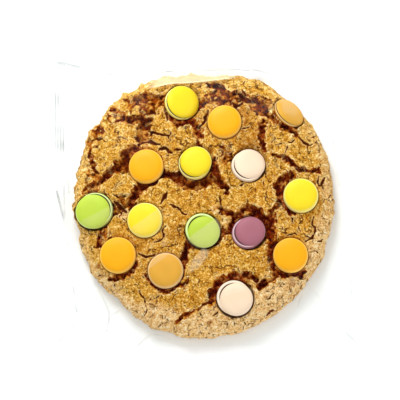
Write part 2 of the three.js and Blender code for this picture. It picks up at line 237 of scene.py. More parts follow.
# The finer cracks across the plates, in the same form.
CRACKS = (
    (0.5, (-46.7, 29.9), (-44.5, 28.5), (-43.8, 27.5), (-42.3, 28.9)),
    (0.5, (-38.4, 28.5), (-36.2, 29.2), (-34, 27.7)), (0.5, (-38.7, 27.4), (-38.7, 25.2), (-40.2, 24.2)),
    (0.4, (-39.8, 6.2), (-37.6, 8), (-35.5, 8.7)),
    (0.9, (-25.3, 32), (-22, 30.5), (-19.2, 29.8), (-15.2, 29.2), (-14.5, 30.8)),
    (0.7, (-15.2, 29.2), (-15.5, 28), (-14.8, 27)),
    (1.4, (-20, 23), (-16.6, 23.4), (-15.2, 21.5), (-14.1, 21.1)), (1.2, (-13, 22.5), (-10, 22.9)),
    (0.8, (-17, 19.7), (-15.5, 20)), (1.0, (-16.6, 39.6), (-16.1, 37), (-16.2, 35.5)),
    (1.0, (-44, 5), (-42, 2), (-40, -1)), (2.2, (-39, 0.5), (-36.5, -2.5), (-34.5, -4)),
    (1.6, (-29, 25.5), (-25.5, 26.6), (-20, 25)),
    (1.2, (-3, 32.5), (-1.2, 33.9), (-0.1, 35.7), (0.3, 37.2), (1.3, 40.5)),
    (0.8, (14.4, 50.7), (13.7, 49.2)), (1.6, (12.2, 43.6), (14, 42.2), (15.8, 42.9), (16.5, 44)),
    (2.4, (14.4, 48.1), (16.2, 46.2), (19.5, 44.7)), (0.9, (36.5, 25.9), (38.3, 25.6), (39, 26.7)),
    (0.6, (31.4, 24.5), (34.7, 25.3)), (0.5, (35.8, 24.7), (35.6, 22.2), (35.8, 20.3)),
    (0.9, (40.5, 28.3), (42.3, 26.8), (45.2, 24.3), (46.6, 25)), (0.6, (44.5, 23.9), (45.2, 22)),
    (0.6, (45.5, 28.5), (47.7, 28.9)), (2.5, (40, 13.8), (41.5, 13.2), (42.5, 13.6)),
    (1.0, (49.5, 11), (49, 8), (50, 7)), (1.0, (52, 10.2), (51, 8.7), (49.5, 6.5)),
    (0.9, (15.1, 6.3), (17.3, 7)), (1.0, (26, 13), (26.8, 11.3)), (0.6, (25.6, 9.5), (26.3, 6)),
    (1.0, (22.4, 23.8), (23.8, 23.4)), (0.7, (16.2, 32.2), (18, 31.8), (19.5, 32.3)),
    (0.5, (5.7, 28.2), (9.3, 27)), (0.7, (6, 21.7), (7.1, 22.5), (8.2, 23)),
    (1.0, (10.4, 20.5), (12.6, 22)), (0.8, (5.3, 19.2), (5.5, 18)),
    (1.0, (6.4, 1.5), (6.8, -0.6), (7.3, -2.4)), (0.5, (-1, 3), (-0.7, 1.5)),
    (1.2, (-16, 4), (-17.2, 2.3), (-19.5, -1.3)),
    (1.1, (-14.8, -1.9), (-11.2, -3.4), (-9.4, -5.3), (-7.6, -6)), (0.5, (-18.4, -3.9), (-16.2, -3.5)),
    (0.5, (-18, -5.9), (-15.5, -6.4)),
    (0.8, (-16.6, -11.1), (-18, -13), (-17.3, -15.5), (-19.5, -17.4), (-22.4, -18)),
    (1.0, (-28.9, -22.4), (-25.3, -24), (-21.3, -23.6)), (0.8, (-27.4, -33.2), (-26, -33.9)),
    (0.8, (-28.2, -38.4), (-27.5, -40.2), (-26.4, -42.1), (-26.4, -43.9)),
    (0.9, (-22.1, -42.5), (-20.2, -41.9), (-19.9, -41.1)), (0.8, (-25.3, -46.7), (-26, -49)),
    (0.8, (-21, -37.3), (-20.2, -39.2)), (0.7, (-13, -45.7), (-12, -46)),
    (0.6, (-9.4, -45.4), (-7.2, -47.3)), (0.8, (3.5, -50.5), (5.3, -49), (6.4, -47.9)),
    (0.5, (16.6, -52), (17, -53.9)), (1.0, (19, -37), (19.8, -38)),
    (0.6, (26.7, -43.5), (28.2, -43.1), (29.6, -40.9)), (0.6, (22.7, -46), (24.9, -44.5)),
    (0.6, (26.3, -49), (29.6, -47.6), (30.7, -48)), (0.9, (37.6, -7.3), (37.9, -9.9)),
    (0.9, (47, -7.4), (46.6, -10.4), (47.4, -12.6), (47, -15.6), (45.2, -17.4), (43, -18.2)),
    (0.5, (47.7, -11.5), (49.2, -13.4)), (0.6, (48.8, -17.5), (51.3, -16.8)),
    (0.5, (45.5, -23), (47, -22), (49.2, -22.7), (50.6, -23.8)),
    (1.0, (35, -15.4), (38.7, -14.8), (39.8, -15.5)), (0.6, (40.1, -12.1), (41.2, -14)),
)

CREVICE_DEPTH_PER_WIDTH = 1.1
CREVICE_DEEPEST = 3.4
CREVICE_WALL = 0.4  # how far a torn wall slopes
SHOULDER_WIDTH = 0.9  # the crumbling slope between a plate and a crevice's dark core
SHOULDER_SHARE = 0.35  # and its share of the depth
LIP_HEIGHT = 0.3  # how far a plate's torn edge curls up
LIP_WIDTH = 0.7
CREVICE_UNEVENNESS, UNEVEN_SIZE = 0.35, 5
CRACK_EDGE = -0.3, 0.3  # mm across which a fine crack's wall slopes
CRACK_LEAST_DEPTH, CRACK_DEEPEST, CRACK_DEPTH_PER_WIDTH = 0.4, 1.6, 2
CRUMBS_ON_SHOULDER, CRUMBS_IN_CORE = 0.25, 0.4
CRACK_FADE = 0.94, 0.995  # the shares of the radius between which cracks run out
OPENING = 1.3  # how much a crevice widens where it passes a button
OPENING_FROM, OPENING_TO = 0.3, 1.8  # mm from the button
OPENING_REACH = 1.6  # and how far outside the crevice this begins

# Patches where the skin broke into lumps: x, y, reach along x and y, and how badly.
BROKEN_PATCHES = (
    (-25, 44, 12, 6, 0.7), (-33, 39, 6, 4, 0.7), (-26, 31, 5, 7, 0.6), (10, 46, 13, 4.5, 0.85),
    (25, 43, 6, 5, 0.9), (-50, 10, 4, 9, 0.55), (-40, 40, 5, 6, 0.42), (-34, 46, 6, 3, 0.45),
    (-46, 32, 4, 5, 0.42), (-37, -1, 4, 6, 0.8), (-2, 8, 10, 2.5, 0.5), (-49, 30, 4, 8, 0.5),
    (36, -30, 6, 3, 0.5), (-37, 16, 5, 5, 0.5), (9, 20, 3, 6, 0.6),
)
BROKEN_EDGE = 0.55, 1.15  # the shares of its reach between which a patch fades
LUMP_SIZE = 3.6
LUMP_GAP_DEPTH, LUMP_GAP_WIDTH, LUMP_GAP_TAPER = 1.6, 0.9, 0.6
LEAST_BROKEN = 0.35  # where gaps open between the lumps

# Darker patches, spots baked darker and broad painted shade where plates lie in shadow: x, y, reach, how
# dark.
STAINS_AND_SHADE = (
    (-27, 43.5, 3.5, 0.7), (-22, 42, 3, 0.6), (23, 43, 4, 0.7), (-42, -13, 1.6, 0.9), (2.4, 23, 1.5, 0.8),
    (-23, -46.3, 1.4, 0.9), (-47.8, -26.5, 1.4, 0.8), (1.7, -52.3, 1.3, 0.8), (38, -36, 1.6, 0.6),
    (45, -25, 1.4, 0.6), (6.5, -22.5, 1.3, 0.7), (-20, 47, 4, 0.4), (12, 35, 13, 0.5), (21, 23, 9, 0.6),
    (-26, -18, 7, 0.2), (2, 11, 5, 0.4), (-12, -15, 7, 0.35), (1, -18, 6, 0.45), (-32, 18, 7, 0.3),
    (-5, 37, 6, 0.4),
)
STAIN_AND_SHADE_EDGE = 0.3, 1.1

# Pale patches on the plates, the two on the left painted glare of the film: x, y, reach and strength.
PALE_PATCHES = (
    (9.3, -11.3, 3.4, 0.9), (-36, -4.5, 3.5, 0.8), (28, -12.5, 2, 0.8), (-35, 17, 3, 0.5), (5, -4, 2, 0.6),
)
PALE_EDGE = 0.7, 1.1
# The pale rim, baked paler on the tray and painted lighter still, most at the near side and right, by
# direction in degrees: the share of the radius where it starts, and how pale it is.
RIM_STARTS = ((0, 45, 90, 135, 180, 205, 230, 250, 270, 300, 320, 340, 360),
              (0.90, 0.93, 0.97, 0.96, 0.955, 0.955, 0.90, 0.83, 0.80, 0.74, 0.77, 0.87, 0.90))
RIM_STRENGTHS = ((0, 20, 45, 90, 180, 210, 240, 330, 360), (0.65, 0.45, 0.25, 0.2, 0.3, 0.7, 1, 0.9, 0.65))
RIM_EDGE = -0.03, 0.05

FINE_CRACKS = 95  # short cracks all over the dry skin
FINE_CRACK_WIDTHS = 0.2, 0.55
FINE_CRACK_STRIDES = 0.5, 1.5
FINE_CRACK_TURN = 0.7

# Unevenness in layers, each with the size of its bumps and how far it goes.
BUMPS = ((11, 0.4), (5, 0.3))
SIDE_SWELLS = ((6, 0.45), (3, 0.3))
TEARS = ((4.5, 1.0), (1.9, 0.8), (0.95, 0.45))
FRAYS = ((2.4, 0.5), (0.9, 0.22))
SHOULDER_RAGS, CORE_RAGS, PALE_RAGS = ((1.4, 0.5),), ((0.9, 0.3),), ((2, 0.25),)
CRUMBS = ((1.6, 1.1), (0.85, 0.9))
LUMPS = ((3.4, 0.9), (1.7, 0.5))
GRAIN = ((2.3, 0.13), (1.1, 0.11), (0.7, 0.07))
SIDE_GRAIN = ((1.9, 0.35), (0.9, 0.2))
SIDE_LUMP_SIZE, SIDE_LUMP_HEIGHT = 4.2, 0.55
TORN_RIM_DIRECTION, TORN_RIM_SPREAD, TORN_RIM_GAIN = 135, 30, 1.3  # where the side is roughest
RIM_WANDER = ((7, 0.03), (2.5, 0.02))
TONES = ((14, 0.3), (6, 0.2))
TONE_BASE, TONE_AT_EDGE, TONE_TO_FAR, TONE_TO_RIGHT = 0.2, 0.6, 0.15, -0.2  # the last two for each 45 mm

# The chocolate buttons: node, diameter, lean in degrees, direction it leans towards.
BUTTONS = (
    ("button_01_yellow", 15.7, 26, 12),
    ("button_02_orange", 14.9, 3, 80),
    ("button_03_tan", 15.2, 51, 37),
    ("button_04_orange", 15.2, 3, 150),
    ("button_05_yellow", 14.8, 4, 60),
    ("button_06_cream", 15.2, 17, 32),
    ("button_07_yellow", 15.2, 5, 10),
    ("button_08_green", 16.7, 5, 190),
    ("button_09_yellow", 15.4, 3, 200),
    ("button_10_green", 15.8, 5, 310),
    ("button_11_mauve", 14.8, 6, 10),
    ("button_12_orange", 15.9, 4, 215),
    ("button_13_orange", 15.2, 5, 330),
    ("button_14_tan", 15.5, 3, 240),
    ("button_15_cream", 16.4, 5, 270),
)
NUDGED = {"button_03_tan": (0.5, 0.5, 0)}  # it leans out over the edge
BUTTON_HALF_HEIGHT = 3.1
BUTTON_FLATNESS = 3.2
SEAT_COLLAR = 2.8  # how far the dough rises round a button
COLLAR_LIFT = 2.4  # and how much higher it stands at a leaning one
COLLAR_REACH, COLLAR_SPARE = 0.95, 0.3  # but not past the button's own upper edge
POCKET_GAP = 0.1
POCKET_EDGE = 1.2  # the share of the radius within which the edge stays low
POCKET_SLOPE, LEANING_SLOPE = 1.2, 3  # how fast that edge rises

CRUST_RINGS = 165
SECTORS = 6
SIDE_SHARE = 0.06  # the part of the rings that run down the side
UNDERSIDE_RINGS = 12
UNDERSIDE_LIFT = 0.15  # room for the film below
UNDERSIDE_PITS = 0.06
LOWEST_TOP = 3
FAR = 9.0  # stands for anywhere that is too far away to matter


def eased(t):
    return t * t * (3 - 2 * t)


def step(start, end, value):
    """0 before start, 1 after end, and smooth between."""
    return eased(np.clip((value - start) / (end - start), 0, 1))


def cell_value(i, j, seed):
    """A value from 0 to 1 for each cell that looks random and is always the same."""
    value = np.sin(i * 127.1 + j * 311.7 + seed * 74.7) * 43758.5453
    return value - np.floor(value)


def noise(x, y, seed):
    """Smooth noise from -1 to 1, one bump in each unit cell."""
    i, j = np.floor(x), np.floor(y)
    u, v = eased(x - i), eased(y - j)
    low = cell_value(i, j, seed) * (1 - u) + cell_value(i + 1, j, seed) * u
    high = cell_value(i, j + 1, seed) * (1 - u) + cell_value(i + 1, j + 1, seed) * u
    return 2 * (low * (1 - v) + high * v) - 1


def turned_noise(x, y, size, seed):
    """The same noise on a grid turned by an odd angle, so that its cells don't line up with the axes."""
    c, s = math.cos(0.7 + seed), math.sin(0.7 + seed)
    return noise((c * x - s * y) / size, (s * x + c * y) / size, seed)


def layered(x, y, seed, layers):
    """Layers of turned noise on top of each other."""
    return sum(reach * turned_noise(x, y, size, seed + k) for k, (size, reach) in enumerate(layers))


def patches(x, y, table, start, end, ragged=0):
    """How strong the strongest patch is at each place: each has its x, y, reach and strength."""
    strongest = np.zeros(x.shape)
    for px, py, *reach, strength in table:
        apart = np.hypot((x - px) / reach[0], (y - py) / reach[-1]) + ragged
        strongest = np.maximum(strongest, strength * (1 - step(start, end, apart)))
    return strongest


def outline_radius(angle):
    direction = np.degrees(angle)
    radius = np.full_like(direction, COOKIE_RADIUS)
    for centre, spread, out in OUTLINE_LOBES:
        apart = (direction - centre + 540) % 360 - 180
        radius += out * np.exp(-((apart / spread) ** 2) / 2)
    return radius


def dome_height(share):
    return BRIM_HEIGHT + (COOKIE_HEIGHT - BRIM_HEIGHT) * np.sqrt(np.maximum(0, 1 - share ** DOME_FLATNESS))


def button_seats():
    """Each button's node, middle, axis and radius, in millimetres from the cookie's middle."""
    found = []
    for node, diameter, lean, towards in BUTTONS:
        low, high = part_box(node)
        middle = ((low + high) / 2 - COOKIE_MIDDLE) / MM + Vector(NUDGED.get(node, (0, 0, 0)))
        tilt, direction = math.radians(lean), math.radians(towards)
        across = math.sin(tilt)
        axis = Vector((across * math.cos(direction), across * math.sin(direction), math.cos(tilt)))
        found.append((node, middle, axis, diameter / 2))
    return found


seats = button_seats()


def from_button(x, y, middle, axis):
    """How far each place is from a button's middle, in the button's own plane, and how far that drops."""
    dx, dy = x - middle.x, y - middle.y
    drop = (axis.x * dx + axis.y * dy) / axis.z
    return np.sqrt(dx ** 2 + dy ** 2 + drop ** 2), drop


def curve_points(corners, steps=5):
    """A smooth line through the corners."""
    p = np.array([corners[0], *corners, corners[-1]], float)
    t = np.linspace(0, 1, steps, endpoint=False)[:, None]
    pieces = []
    for a, b, c, d in zip(p, p[1:], p[2:], p[3:]):
        pieces.append(0.5 * (2 * b + (c - a) * t + (2 * a - 5 * b + 4 * c - d) * t ** 2
                             + (3 * b - a - 3 * c + d) * t ** 3))
    return np.vstack(pieces + [p[-1:]])


def inside_line(x, y, width, corners, reach=4):
    """How far inside a crack each point is: positive inside, negative outside, very negative far away."""
    line = curve_points(corners)
    inside = np.full(x.shape, -FAR)
    near = np.where((x > line[:, 0].min() - reach) & (x < line[:, 0].max() + reach)
                    & (y > line[:, 1].min() - reach) & (y < line[:, 1].max() + reach))[0]
    px, py = x[near], y[near]
    nearest = np.full(px.shape, np.inf)
    lengths = np.hypot(*np.diff(line, axis=0).T)
    along_start = np.concatenate([[0], np.cumsum(lengths)])
    total = along_start[-1]
    taper = np.ones(px.shape)
    for k, (a, b) in enumerate(zip(line, line[1:])):
        d = b - a
        t = np.clip(((px - a[0]) * d[0] + (py - a[1]) * d[1]) / (d @ d), 0, 1)
        away = np.hypot(px - a[0] - t * d[0], py - a[1] - t * d[1])
        closer = away < nearest
        nearest[closer] = away[closer]
        along = along_start[k] + t * lengths[k]
        end = np.minimum(along, total - along)
        taper[closer] = np.clip(0.55 + 0.45 * end / 2.5, 0, 1)[closer]
    inside[near] = width / 2 * taper - nearest
    return inside


def crust_section():
    """Share of the radius and how far down the side, for each ring from the top's middle to the underside."""
    dome_rings = round(CRUST_RINGS * (1 - SIDE_SHARE))
    share = np.sqrt(np.sin(np.linspace(0, np.pi / 2, 4000)))
    steps = np.hypot(np.diff(share * COOKIE_RADIUS), np.diff(dome_height(share)))
    length = np.concatenate([[0], np.cumsum(steps)])
    shares = np.interp(np.linspace(0, length[-1], dome_rings + 1), length, share)
    down = np.arange(1, CRUST_RINGS - dome_rings + 1) / (CRUST_RINGS - dome_rings)
    return np.concatenate([shares, np.ones(len(down))]), np.concatenate([np.zeros(len(shares)), down])


def crust_faces():
    """Even triangles between rings of 6, 12, 18... points, then the underside's bands and its middle."""
    def first(ring):
        return 0 if ring == 0 else 1 + SECTORS * ring * (ring - 1) // 2

    faces = []
    for ring in range(1, CRUST_RINGS + 1):
        for sector in range(SECTORS):
            i = np.arange(ring)
            outer = first(ring) + sector * ring + i
            outer_next = first(ring) + (sector * ring + i + 1) % (SECTORS * ring)
            inner_count = max(1, SECTORS * (ring - 1))
            inner = first(ring - 1) + (sector * (ring - 1) + i) % inner_count
            inner_next = first(ring - 1) + (sector * (ring - 1) + i + 1) % inner_count
            faces.append(np.stack([inner, outer, outer_next], 1))
            faces.append(np.stack([inner, outer_next, inner_next], 1)[:-1])
    count = SECTORS * CRUST_RINGS
    i = np.arange(count)
    around = (i + 1) % count
    for band in range(UNDERSIDE_RINGS - 1):
        a = first(CRUST_RINGS) + band * count
        b = a + count
        faces.append(np.stack([a + i, b + i, a + around], 1))
        faces.append(np.stack([b + i, b + around, a + around], 1))
    last = first(CRUST_RINGS) + (UNDERSIDE_RINGS - 1) * count
    faces.append(np.stack([last + i, np.full(count, last + count), last + around], 1))
    return np.vstack(faces)


def cell_distances(x, y, size, seed):
    """Distances to the nearest and second nearest of scattered points, one in each cell, in cells."""
    gx, gy = x / size, y / size
    i0, j0 = np.floor(gx), np.floor(gy)
    nearest = np.full(x.shape, FAR)
    second = np.full(x.shape, FAR)
    for i in (i0 - 1, i0, i0 + 1):
        for j in (j0 - 1, j0, j0 + 1):
            away = np.hypot(gx - i - cell_value(i, j, seed), gy - j - cell_value(i, j, seed + 17))
            second = np.minimum(second, np.maximum(nearest, away))
            nearest = np.minimum(nearest, away)
    return nearest, second


def fine_cracks():
    """Short wandering cracks, most of them near the edge: width, then the points each one runs through."""
    chance = np.random.default_rng(11)
    cracks = []
    for _ in range(FINE_CRACKS):
        direction, out = chance.uniform(0, 2 * np.pi), COOKIE_RADIUS * chance.uniform(0.2, 0.98) ** 0.4
        corner = np.array([out * math.cos(direction), out * math.sin(direction)])
        heading, stride = chance.uniform(0, 2 * np.pi), chance.uniform(*FINE_CRACK_STRIDES)
        corners = [corner]
        for _ in range(chance.integers(2, 5)):
            heading += chance.normal(0, FINE_CRACK_TURN)
            corner = corner + stride * np.array([math.cos(heading), math.sin(heading)])
            corners.append(corner)
        cracks.append((chance.uniform(*FINE_CRACK_WIDTHS), *corners))
    return cracks


def crust_geometry():
    """The crust's points, what each one is like, and the share of the radius where it lies."""
    shares, downs = crust_section()
    counts = np.array([1] + [SECTORS * ring for ring in range(1, CRUST_RINGS + 1)])
    share = np.repeat(shares, counts)
    down = np.repeat(downs, counts)
    angle = np.concatenate([np.arange(n) * 2 * np.pi / n for n in counts])
    outline = outline_radius(angle)
    rim_x, rim_y = outline * np.cos(angle), outline * np.sin(angle)
    swells = sum(out * noise(rim_x / size, rim_y / size, seed)
                 for seed, (size, out) in zip((1, 3), SIDE_SWELLS))
    radius = outline * share + swells * step(0.8, 1, share) - UNDERCUT * down ** 2
    x, y = radius * np.cos(angle), radius * np.sin(angle)

    # The plain form: the dome with broad bumps, lifted round each button.
    bumps = sum(height * noise(x / size, y / size, seed) for seed, (size, height) in zip((1, 2), BUMPS))
    z = dome_height(share) + bumps * (1 - share ** 8)
    ring_gap = np.full(x.shape, FAR)
    for _, middle, axis, button_radius in seats:
        away, drop = from_button(x, y, middle, axis)
        far = away - button_radius
        slant = axis.xy.length
        highest = middle.z + COLLAR_REACH * button_radius * slant + COLLAR_SPARE
        plane = np.minimum(middle.z - drop + COLLAR_LIFT * slant ** 2, highest)
        lifted = z + (np.maximum(z, plane) - z) * (1 - step(0, SEAT_COLLAR, far))
        z = np.where(far < SEAT_COLLAR, lifted, z)
        ring_gap = np.minimum(ring_gap, far)

    # Torn edges wander, so cracks are measured from wandering points.
    wx, wy = x + layered(x, y, 21, TEARS), y + layered(x, y, 31, TEARS)
    fx, fy = x + layered(x, y, 41, FRAYS), y + layered(x, y, 43, FRAYS)
    uneven = CREVICE_UNEVENNESS * turned_noise(x, y, UNEVEN_SIZE, 45)
    inside = np.full(x.shape, -FAR)
    deepest = np.zeros(x.shape)
    for width, *corners in CREVICES:
        here = inside_line(wx, wy, width, corners) + width / 2 * uneven
        deepest = np.where(here > inside, min(CREVICE_DEEPEST, width * CREVICE_DEPTH_PER_WIDTH), deepest)
        inside = np.maximum(inside, here)
    crack = np.full(x.shape, -FAR)
    for width, *corners in [*CRACKS, *fine_cracks()]:
        crack = np.maximum(crack, inside_line(fx, fy, width, corners))

    # Where the skin broke up into lumps instead of plates, and where it is darker, from baking and painted
    # shade.
    broken = patches(wx, wy, BROKEN_PATCHES, *BROKEN_EDGE)
    near_lump, next_lump = cell_distances(wx, wy, LUMP_SIZE, 5)
    lump_gap = (next_lump - near_lump) * LUMP_SIZE
    between = LEAST_BROKEN * broken - lump_gap * LUMP_GAP_TAPER
    inside = np.maximum(inside, np.where(broken > LEAST_BROKEN, between, -FAR))
    stain_and_shade = patches(wx, wy, STAINS_AND_SHADE, *STAIN_AND_SHADE_EDGE)

    # A crevice that passes close to a button opens up to it.
    opened = inside + OPENING * (1 - step(OPENING_FROM, OPENING_TO, ring_gap))
    inside = np.where(inside > -OPENING_REACH, opened, inside)

    # How deep it is torn at each place, and how far the torn edges curl up.
    fade = 1 - step(*CRACK_FADE, share)
    shoulder = step(-SHOULDER_WIDTH, 0.3, inside + layered(x, y, 46, SHOULDER_RAGS))
    core = step(-0.1, CREVICE_WALL, inside + layered(x, y, 47, CORE_RAGS))
    depth = deepest * (SHOULDER_SHARE * shoulder + (1 - SHOULDER_SHARE) * core)
    depth = np.maximum(depth, broken * LUMP_GAP_DEPTH * (1 - step(0.0, LUMP_GAP_WIDTH, lump_gap)))
    crack_depth = np.clip(CRACK_LEAST_DEPTH + crack * CRACK_DEPTH_PER_WIDTH, CRACK_LEAST_DEPTH, CRACK_DEEPEST)
    depth = np.maximum(depth, step(*CRACK_EDGE, crack) * crack_depth)
    lip = LIP_HEIGHT * np.exp(-np.abs(inside + SHOULDER_WIDTH) / LIP_WIDTH)
    z += (lip - depth) * fade

    # Crumbs on the floor of the cracks, lumps where the skin is broken, and grain on the plates.
    crumb = np.clip(layered(x, y, 51, CRUMBS), -1, 1)
    z += (CRUMBS_ON_SHOULDER * shoulder + CRUMBS_IN_CORE * core) * crumb * fade
    z += broken * layered(x, y, 58, LUMPS) * fade
    z += layered(x, y, 53, GRAIN) * (1 - shoulder)

    # Each button sits in a pocket of its own form, a little wider than the button.
    for _, middle, axis, button_radius in seats:
        away, drop = from_button(x, y, middle, axis)
        share_out = away / (button_radius + POCKET_GAP)
        hollow = (1 - np.minimum(1, share_out) ** BUTTON_FLATNESS) ** (1 / BUTTON_FLATNESS)
        floor_here = middle.z - drop - (BUTTON_HALF_HEIGHT + POCKET_GAP) * hollow
        slope = POCKET_SLOPE + LEANING_SLOPE * axis.xy.length ** 2
        edge = middle.z - drop + 0.1 + slope * np.maximum(0, share_out - 1) * button_radius
        outside = np.where(share_out < POCKET_EDGE, np.minimum(z, edge), z)
        z = np.where(share_out < 1, np.minimum(z, floor_here), outside)
    z = np.where(down > 0, BRIM_HEIGHT * (1 - down) + UNDERSIDE_LIFT * down, np.maximum(z, LOWEST_TOP))

    # The side is lumpy and grainy too, outwards, and most of all where the rim is torn.
    around = angle * COOKIE_RADIUS
    apart = (np.degrees(angle) - TORN_RIM_DIRECTION) / TORN_RIM_SPREAD
    torn = 1 + TORN_RIM_GAIN * np.exp(-(apart ** 2) / 2)
    lumps = SIDE_LUMP_HEIGHT * turned_noise(around, z, SIDE_LUMP_SIZE, 60)
    rough = (lumps + layered(around, z, 56, SIDE_GRAIN)) * torn * step(0.9, 1, share) * (1 - down ** 4)
    x = x + rough * np.cos(angle)
    y = y + rough * np.sin(angle)

    # The underside: flat, with shallow pits.
    count = SECTORS * CRUST_RINGS
    under_shares = np.linspace(1, 0, UNDERSIDE_RINGS + 1)[1:-1] ** 0.8
    under_x, under_y = (np.concatenate([side[-count:] * s for s in under_shares] + [[0]]) for side in (x, y))
    under_z = UNDERSIDE_LIFT + UNDERSIDE_PITS * (1 + turned_noise(under_x, under_y, 3, 61))
    crust_points = np.stack([np.concatenate(pair) for pair in ((x, under_x), (y, under_y), (z, under_z))], 1)

    # What the colours hang on: its values on the top and side, and its value on the underside.
    kinds = {
        "inside": (np.where(fade > 0.05, np.clip(inside, -3, 3), -3), -3),
        "crack": (np.where(fade > 0.05, np.clip(crack, -2, 2), -2), -2),
        "crumb": (crumb * 0.5 + 0.5, 0.5),
        "stain_and_shade": (stain_and_shade, 0),
        "broken": (np.clip(broken * 1.2, 0, 0.9), 0),
        "underside": (step(0.75, 1, down), 1),
        "beside": (ring_gap, FAR),
    }
    rest = np.ones(len(under_x))
    attributes = {name: np.concatenate([top, under * rest]) for name, (top, under) in kinds.items()}
    return crust_points, attributes, np.concatenate([share, rest])


def mesh_object(name, points, faces, attributes):
    """A smooth mesh piece from points in millimetres."""
    mesh = bpy.data.meshes.new(name)
    places = np.asarray(points) * MM + np.array(COOKIE_MIDDLE)
    mesh.from_pydata(places.tolist(), [], np.asarray(faces).tolist())
    for attribute, values in attributes.items():
        layer = mesh.attributes.new(attribute, "FLOAT", "POINT")
        layer.data.foreach_set("value", np.asarray(values, np.float32))
    mesh.polygons.foreach_set("use_smooth", np.ones(len(mesh.polygons), bool))
    mesh.validate()
    piece = bpy.data.objects.new(name, mesh)
    bpy.context.scene.collection.objects.link(piece)
    return piece


def rim_paleness(x, y, share):
    """1 on the pale rim, wide at the near side and right and narrow elsewhere, partly painted light, and on
    pale patches, two of them painted glare.
    """
    direction = np.degrees(np.arctan2(y, x)) % 360
    starts = np.interp(direction, *RIM_STARTS)
    pale = step(*RIM_EDGE, share + layered(x, y, 71, RIM_WANDER) - starts)
    pale *= np.interp(direction, *RIM_STRENGTHS)
    return np.maximum(pale, patches(x, y, PALE_PATCHES, *PALE_EDGE, layered(x, y, 75, PALE_RAGS)))


def crust_tone(x, y, share):
    """0 where the skin is deep golden and 1 where it is more yellow, at the edge and the far left."""
    slant = (TONE_TO_FAR * y + TONE_TO_RIGHT * x) / 45
    tone = TONE_BASE + TONE_AT_EDGE * step(0.85, 1, share) + slant + layered(x, y, 73, TONES)
    return np.clip(tone, 0, 1)


# The crust's noises: size of a grain in mm, detail and roughness.
CRUST_GRAINS = {
    "fine": (0.75, 4, 0.75), "coarse": (2.1, 3, 0.6), "pore": (0.7, 2, 0.6), "pit": (0.55, 2, 0.6),
    "bump": (0.9, 4, 0.7), "ragged": (1.3, 3, 0.55), "frays": (3.2, 2, 0.5), "crack_highlight_patches": (2.4, 2, 0.5),
    "large_patch": (3.4, 2, 0.5), "small_patch": (2.4, 2, 0.5),
}
HAIRLINE_CELLS = {"large_lines": 4.4, "small_lines": 2.3}
HAIRLINE_SWAY_SIZE = 1.5
HAIRLINE_SWAY = 2.2

# Sums, one after another: what each is called, a value, what multiplies it, and what is added.
CRUST_SUMS = (
    ("coarse", "coarse", 0.32, 0), ("fleck", "fine", 0.68, "coarse"),
    ("crumb", "crumb", 0.3, 0), ("crumbs", "fine", 0.6, "crumb"),
    ("ragged", "ragged", 1, -0.5), ("inside", "ragged", 3.4, "inside"), ("crack", "ragged", 0.9, "crack"),
    ("large_patch", "rim", -0.025, "large_patch"), ("small_patch", "rim", -0.025, "small_patch"),
)
# Bands: the value that each follows, where it starts and ends, and what it is before and after.
CRUST_BANDS = {
    "pores": ("pore", 0.31, 0.38, 0.75, 0), "pits": ("pit", 0.36, 0.44, -0.35, 0),
    "large_lines": ("large_lines", 0.012, 0.045, 1, 0), "small_lines": ("small_lines", 0.012, 0.045, 1, 0),
    "large_patch": ("large_patch", 0.525, 0.565, 0, 1), "small_patch": ("small_patch", 0.55, 0.59, 0, 1),
    "torn": ("inside", -1.9, -0.9, 0, 0.85), "frays": ("frays", 0.40, 0.52, 0, 1),
    "whole": ("broken", 0.2, 0.9, 1, 0.45), "shoulder": ("inside", -0.75, -0.6, 0, 1),
    "core": ("inside", -0.05, 0.12, 0, 1), "near_crack": ("crack", -0.8, -0.2, 0, 0.5),
    "crack_highlight_patches": ("crack_highlight_patches", 0.42, 0.52, 0, 1), "open_crack": ("crack", -0.06, 0.06, 0, 1),
    "seat_shadow": ("beside", 0.0, 0.35, 0.8, 0),
}
# Pairs of values: what each is called, how the two are put together, and the two.
CRUST_PAIRS = (
    ("large_lines", "MULTIPLY", "large_lines", "large_patch"),
    ("small_lines", "MULTIPLY", "small_lines", "small_patch"),
    ("hairlines", "MAXIMUM", "large_lines", "small_lines"),
    ("hairline_colour", "MULTIPLY", "hairlines", 0.95), ("hairline_depth", "MULTIPLY", "hairlines", -0.6),
    ("frayed_and_lit", "MULTIPLY", "torn", "frays"), ("frayed_and_lit", "MULTIPLY", "frayed_and_lit", "whole"),
    ("crack_edge_highlight", "MULTIPLY", "near_crack", "crack_highlight_patches"),
    ("height", "ADD", "bump", "pits"), ("height", "ADD", "height", "hairline_depth"),
)
# Colour ramps: the value that each follows, then its positions and colours.
CRUST_RAMPS = {
    "golden": ("fleck", (0.385, "#86420a"), (0.435, "#b8761c"), (0.49, "#ce8f2a"), (0.545, "#e4aa42"),
               (0.60, "#ffda8c")),
    "yellow": ("fleck", (0.385, "#925210"), (0.435, "#be8026"), (0.49, "#d8a238"), (0.545, "#f0c258"),
               (0.60, "#fff0b4")),
    "pale": ("fleck", (0.385, "#a87036"), (0.435, "#dca862"), (0.49, "#f4c47e"), (0.545, "#ffdaa0"),
             (0.60, "#fff4d0")),
    # Torn edges: pale sugar, brightened with painted highlight.
    "sugar_and_highlight": ("fleck", (0.40, "#c48a34"), (0.49, "#f0c270"), (0.58, "#fff0b4")),
    # The crevices' slope, their core and the gaps between lumps: the crumb's colour, darkened with painted
    # shade.
    "slope": ("crumbs", (0.28, "#5c1c00"), (0.40, "#984606"), (0.50, "#be7216"), (0.60, "#ecb456")),
    "moist_and_shaded": ("crumbs", (0.30, "#4c0c00"), (0.43, "#741e00"), (0.52, "#9c420a"), (0.62, "#c4803c")),
    "baked": ("crumbs", (0.30, "#5c1800"), (0.42, "#9c4604"), (0.52, "#c07012"), (0.62, "#e8ae50")),
}
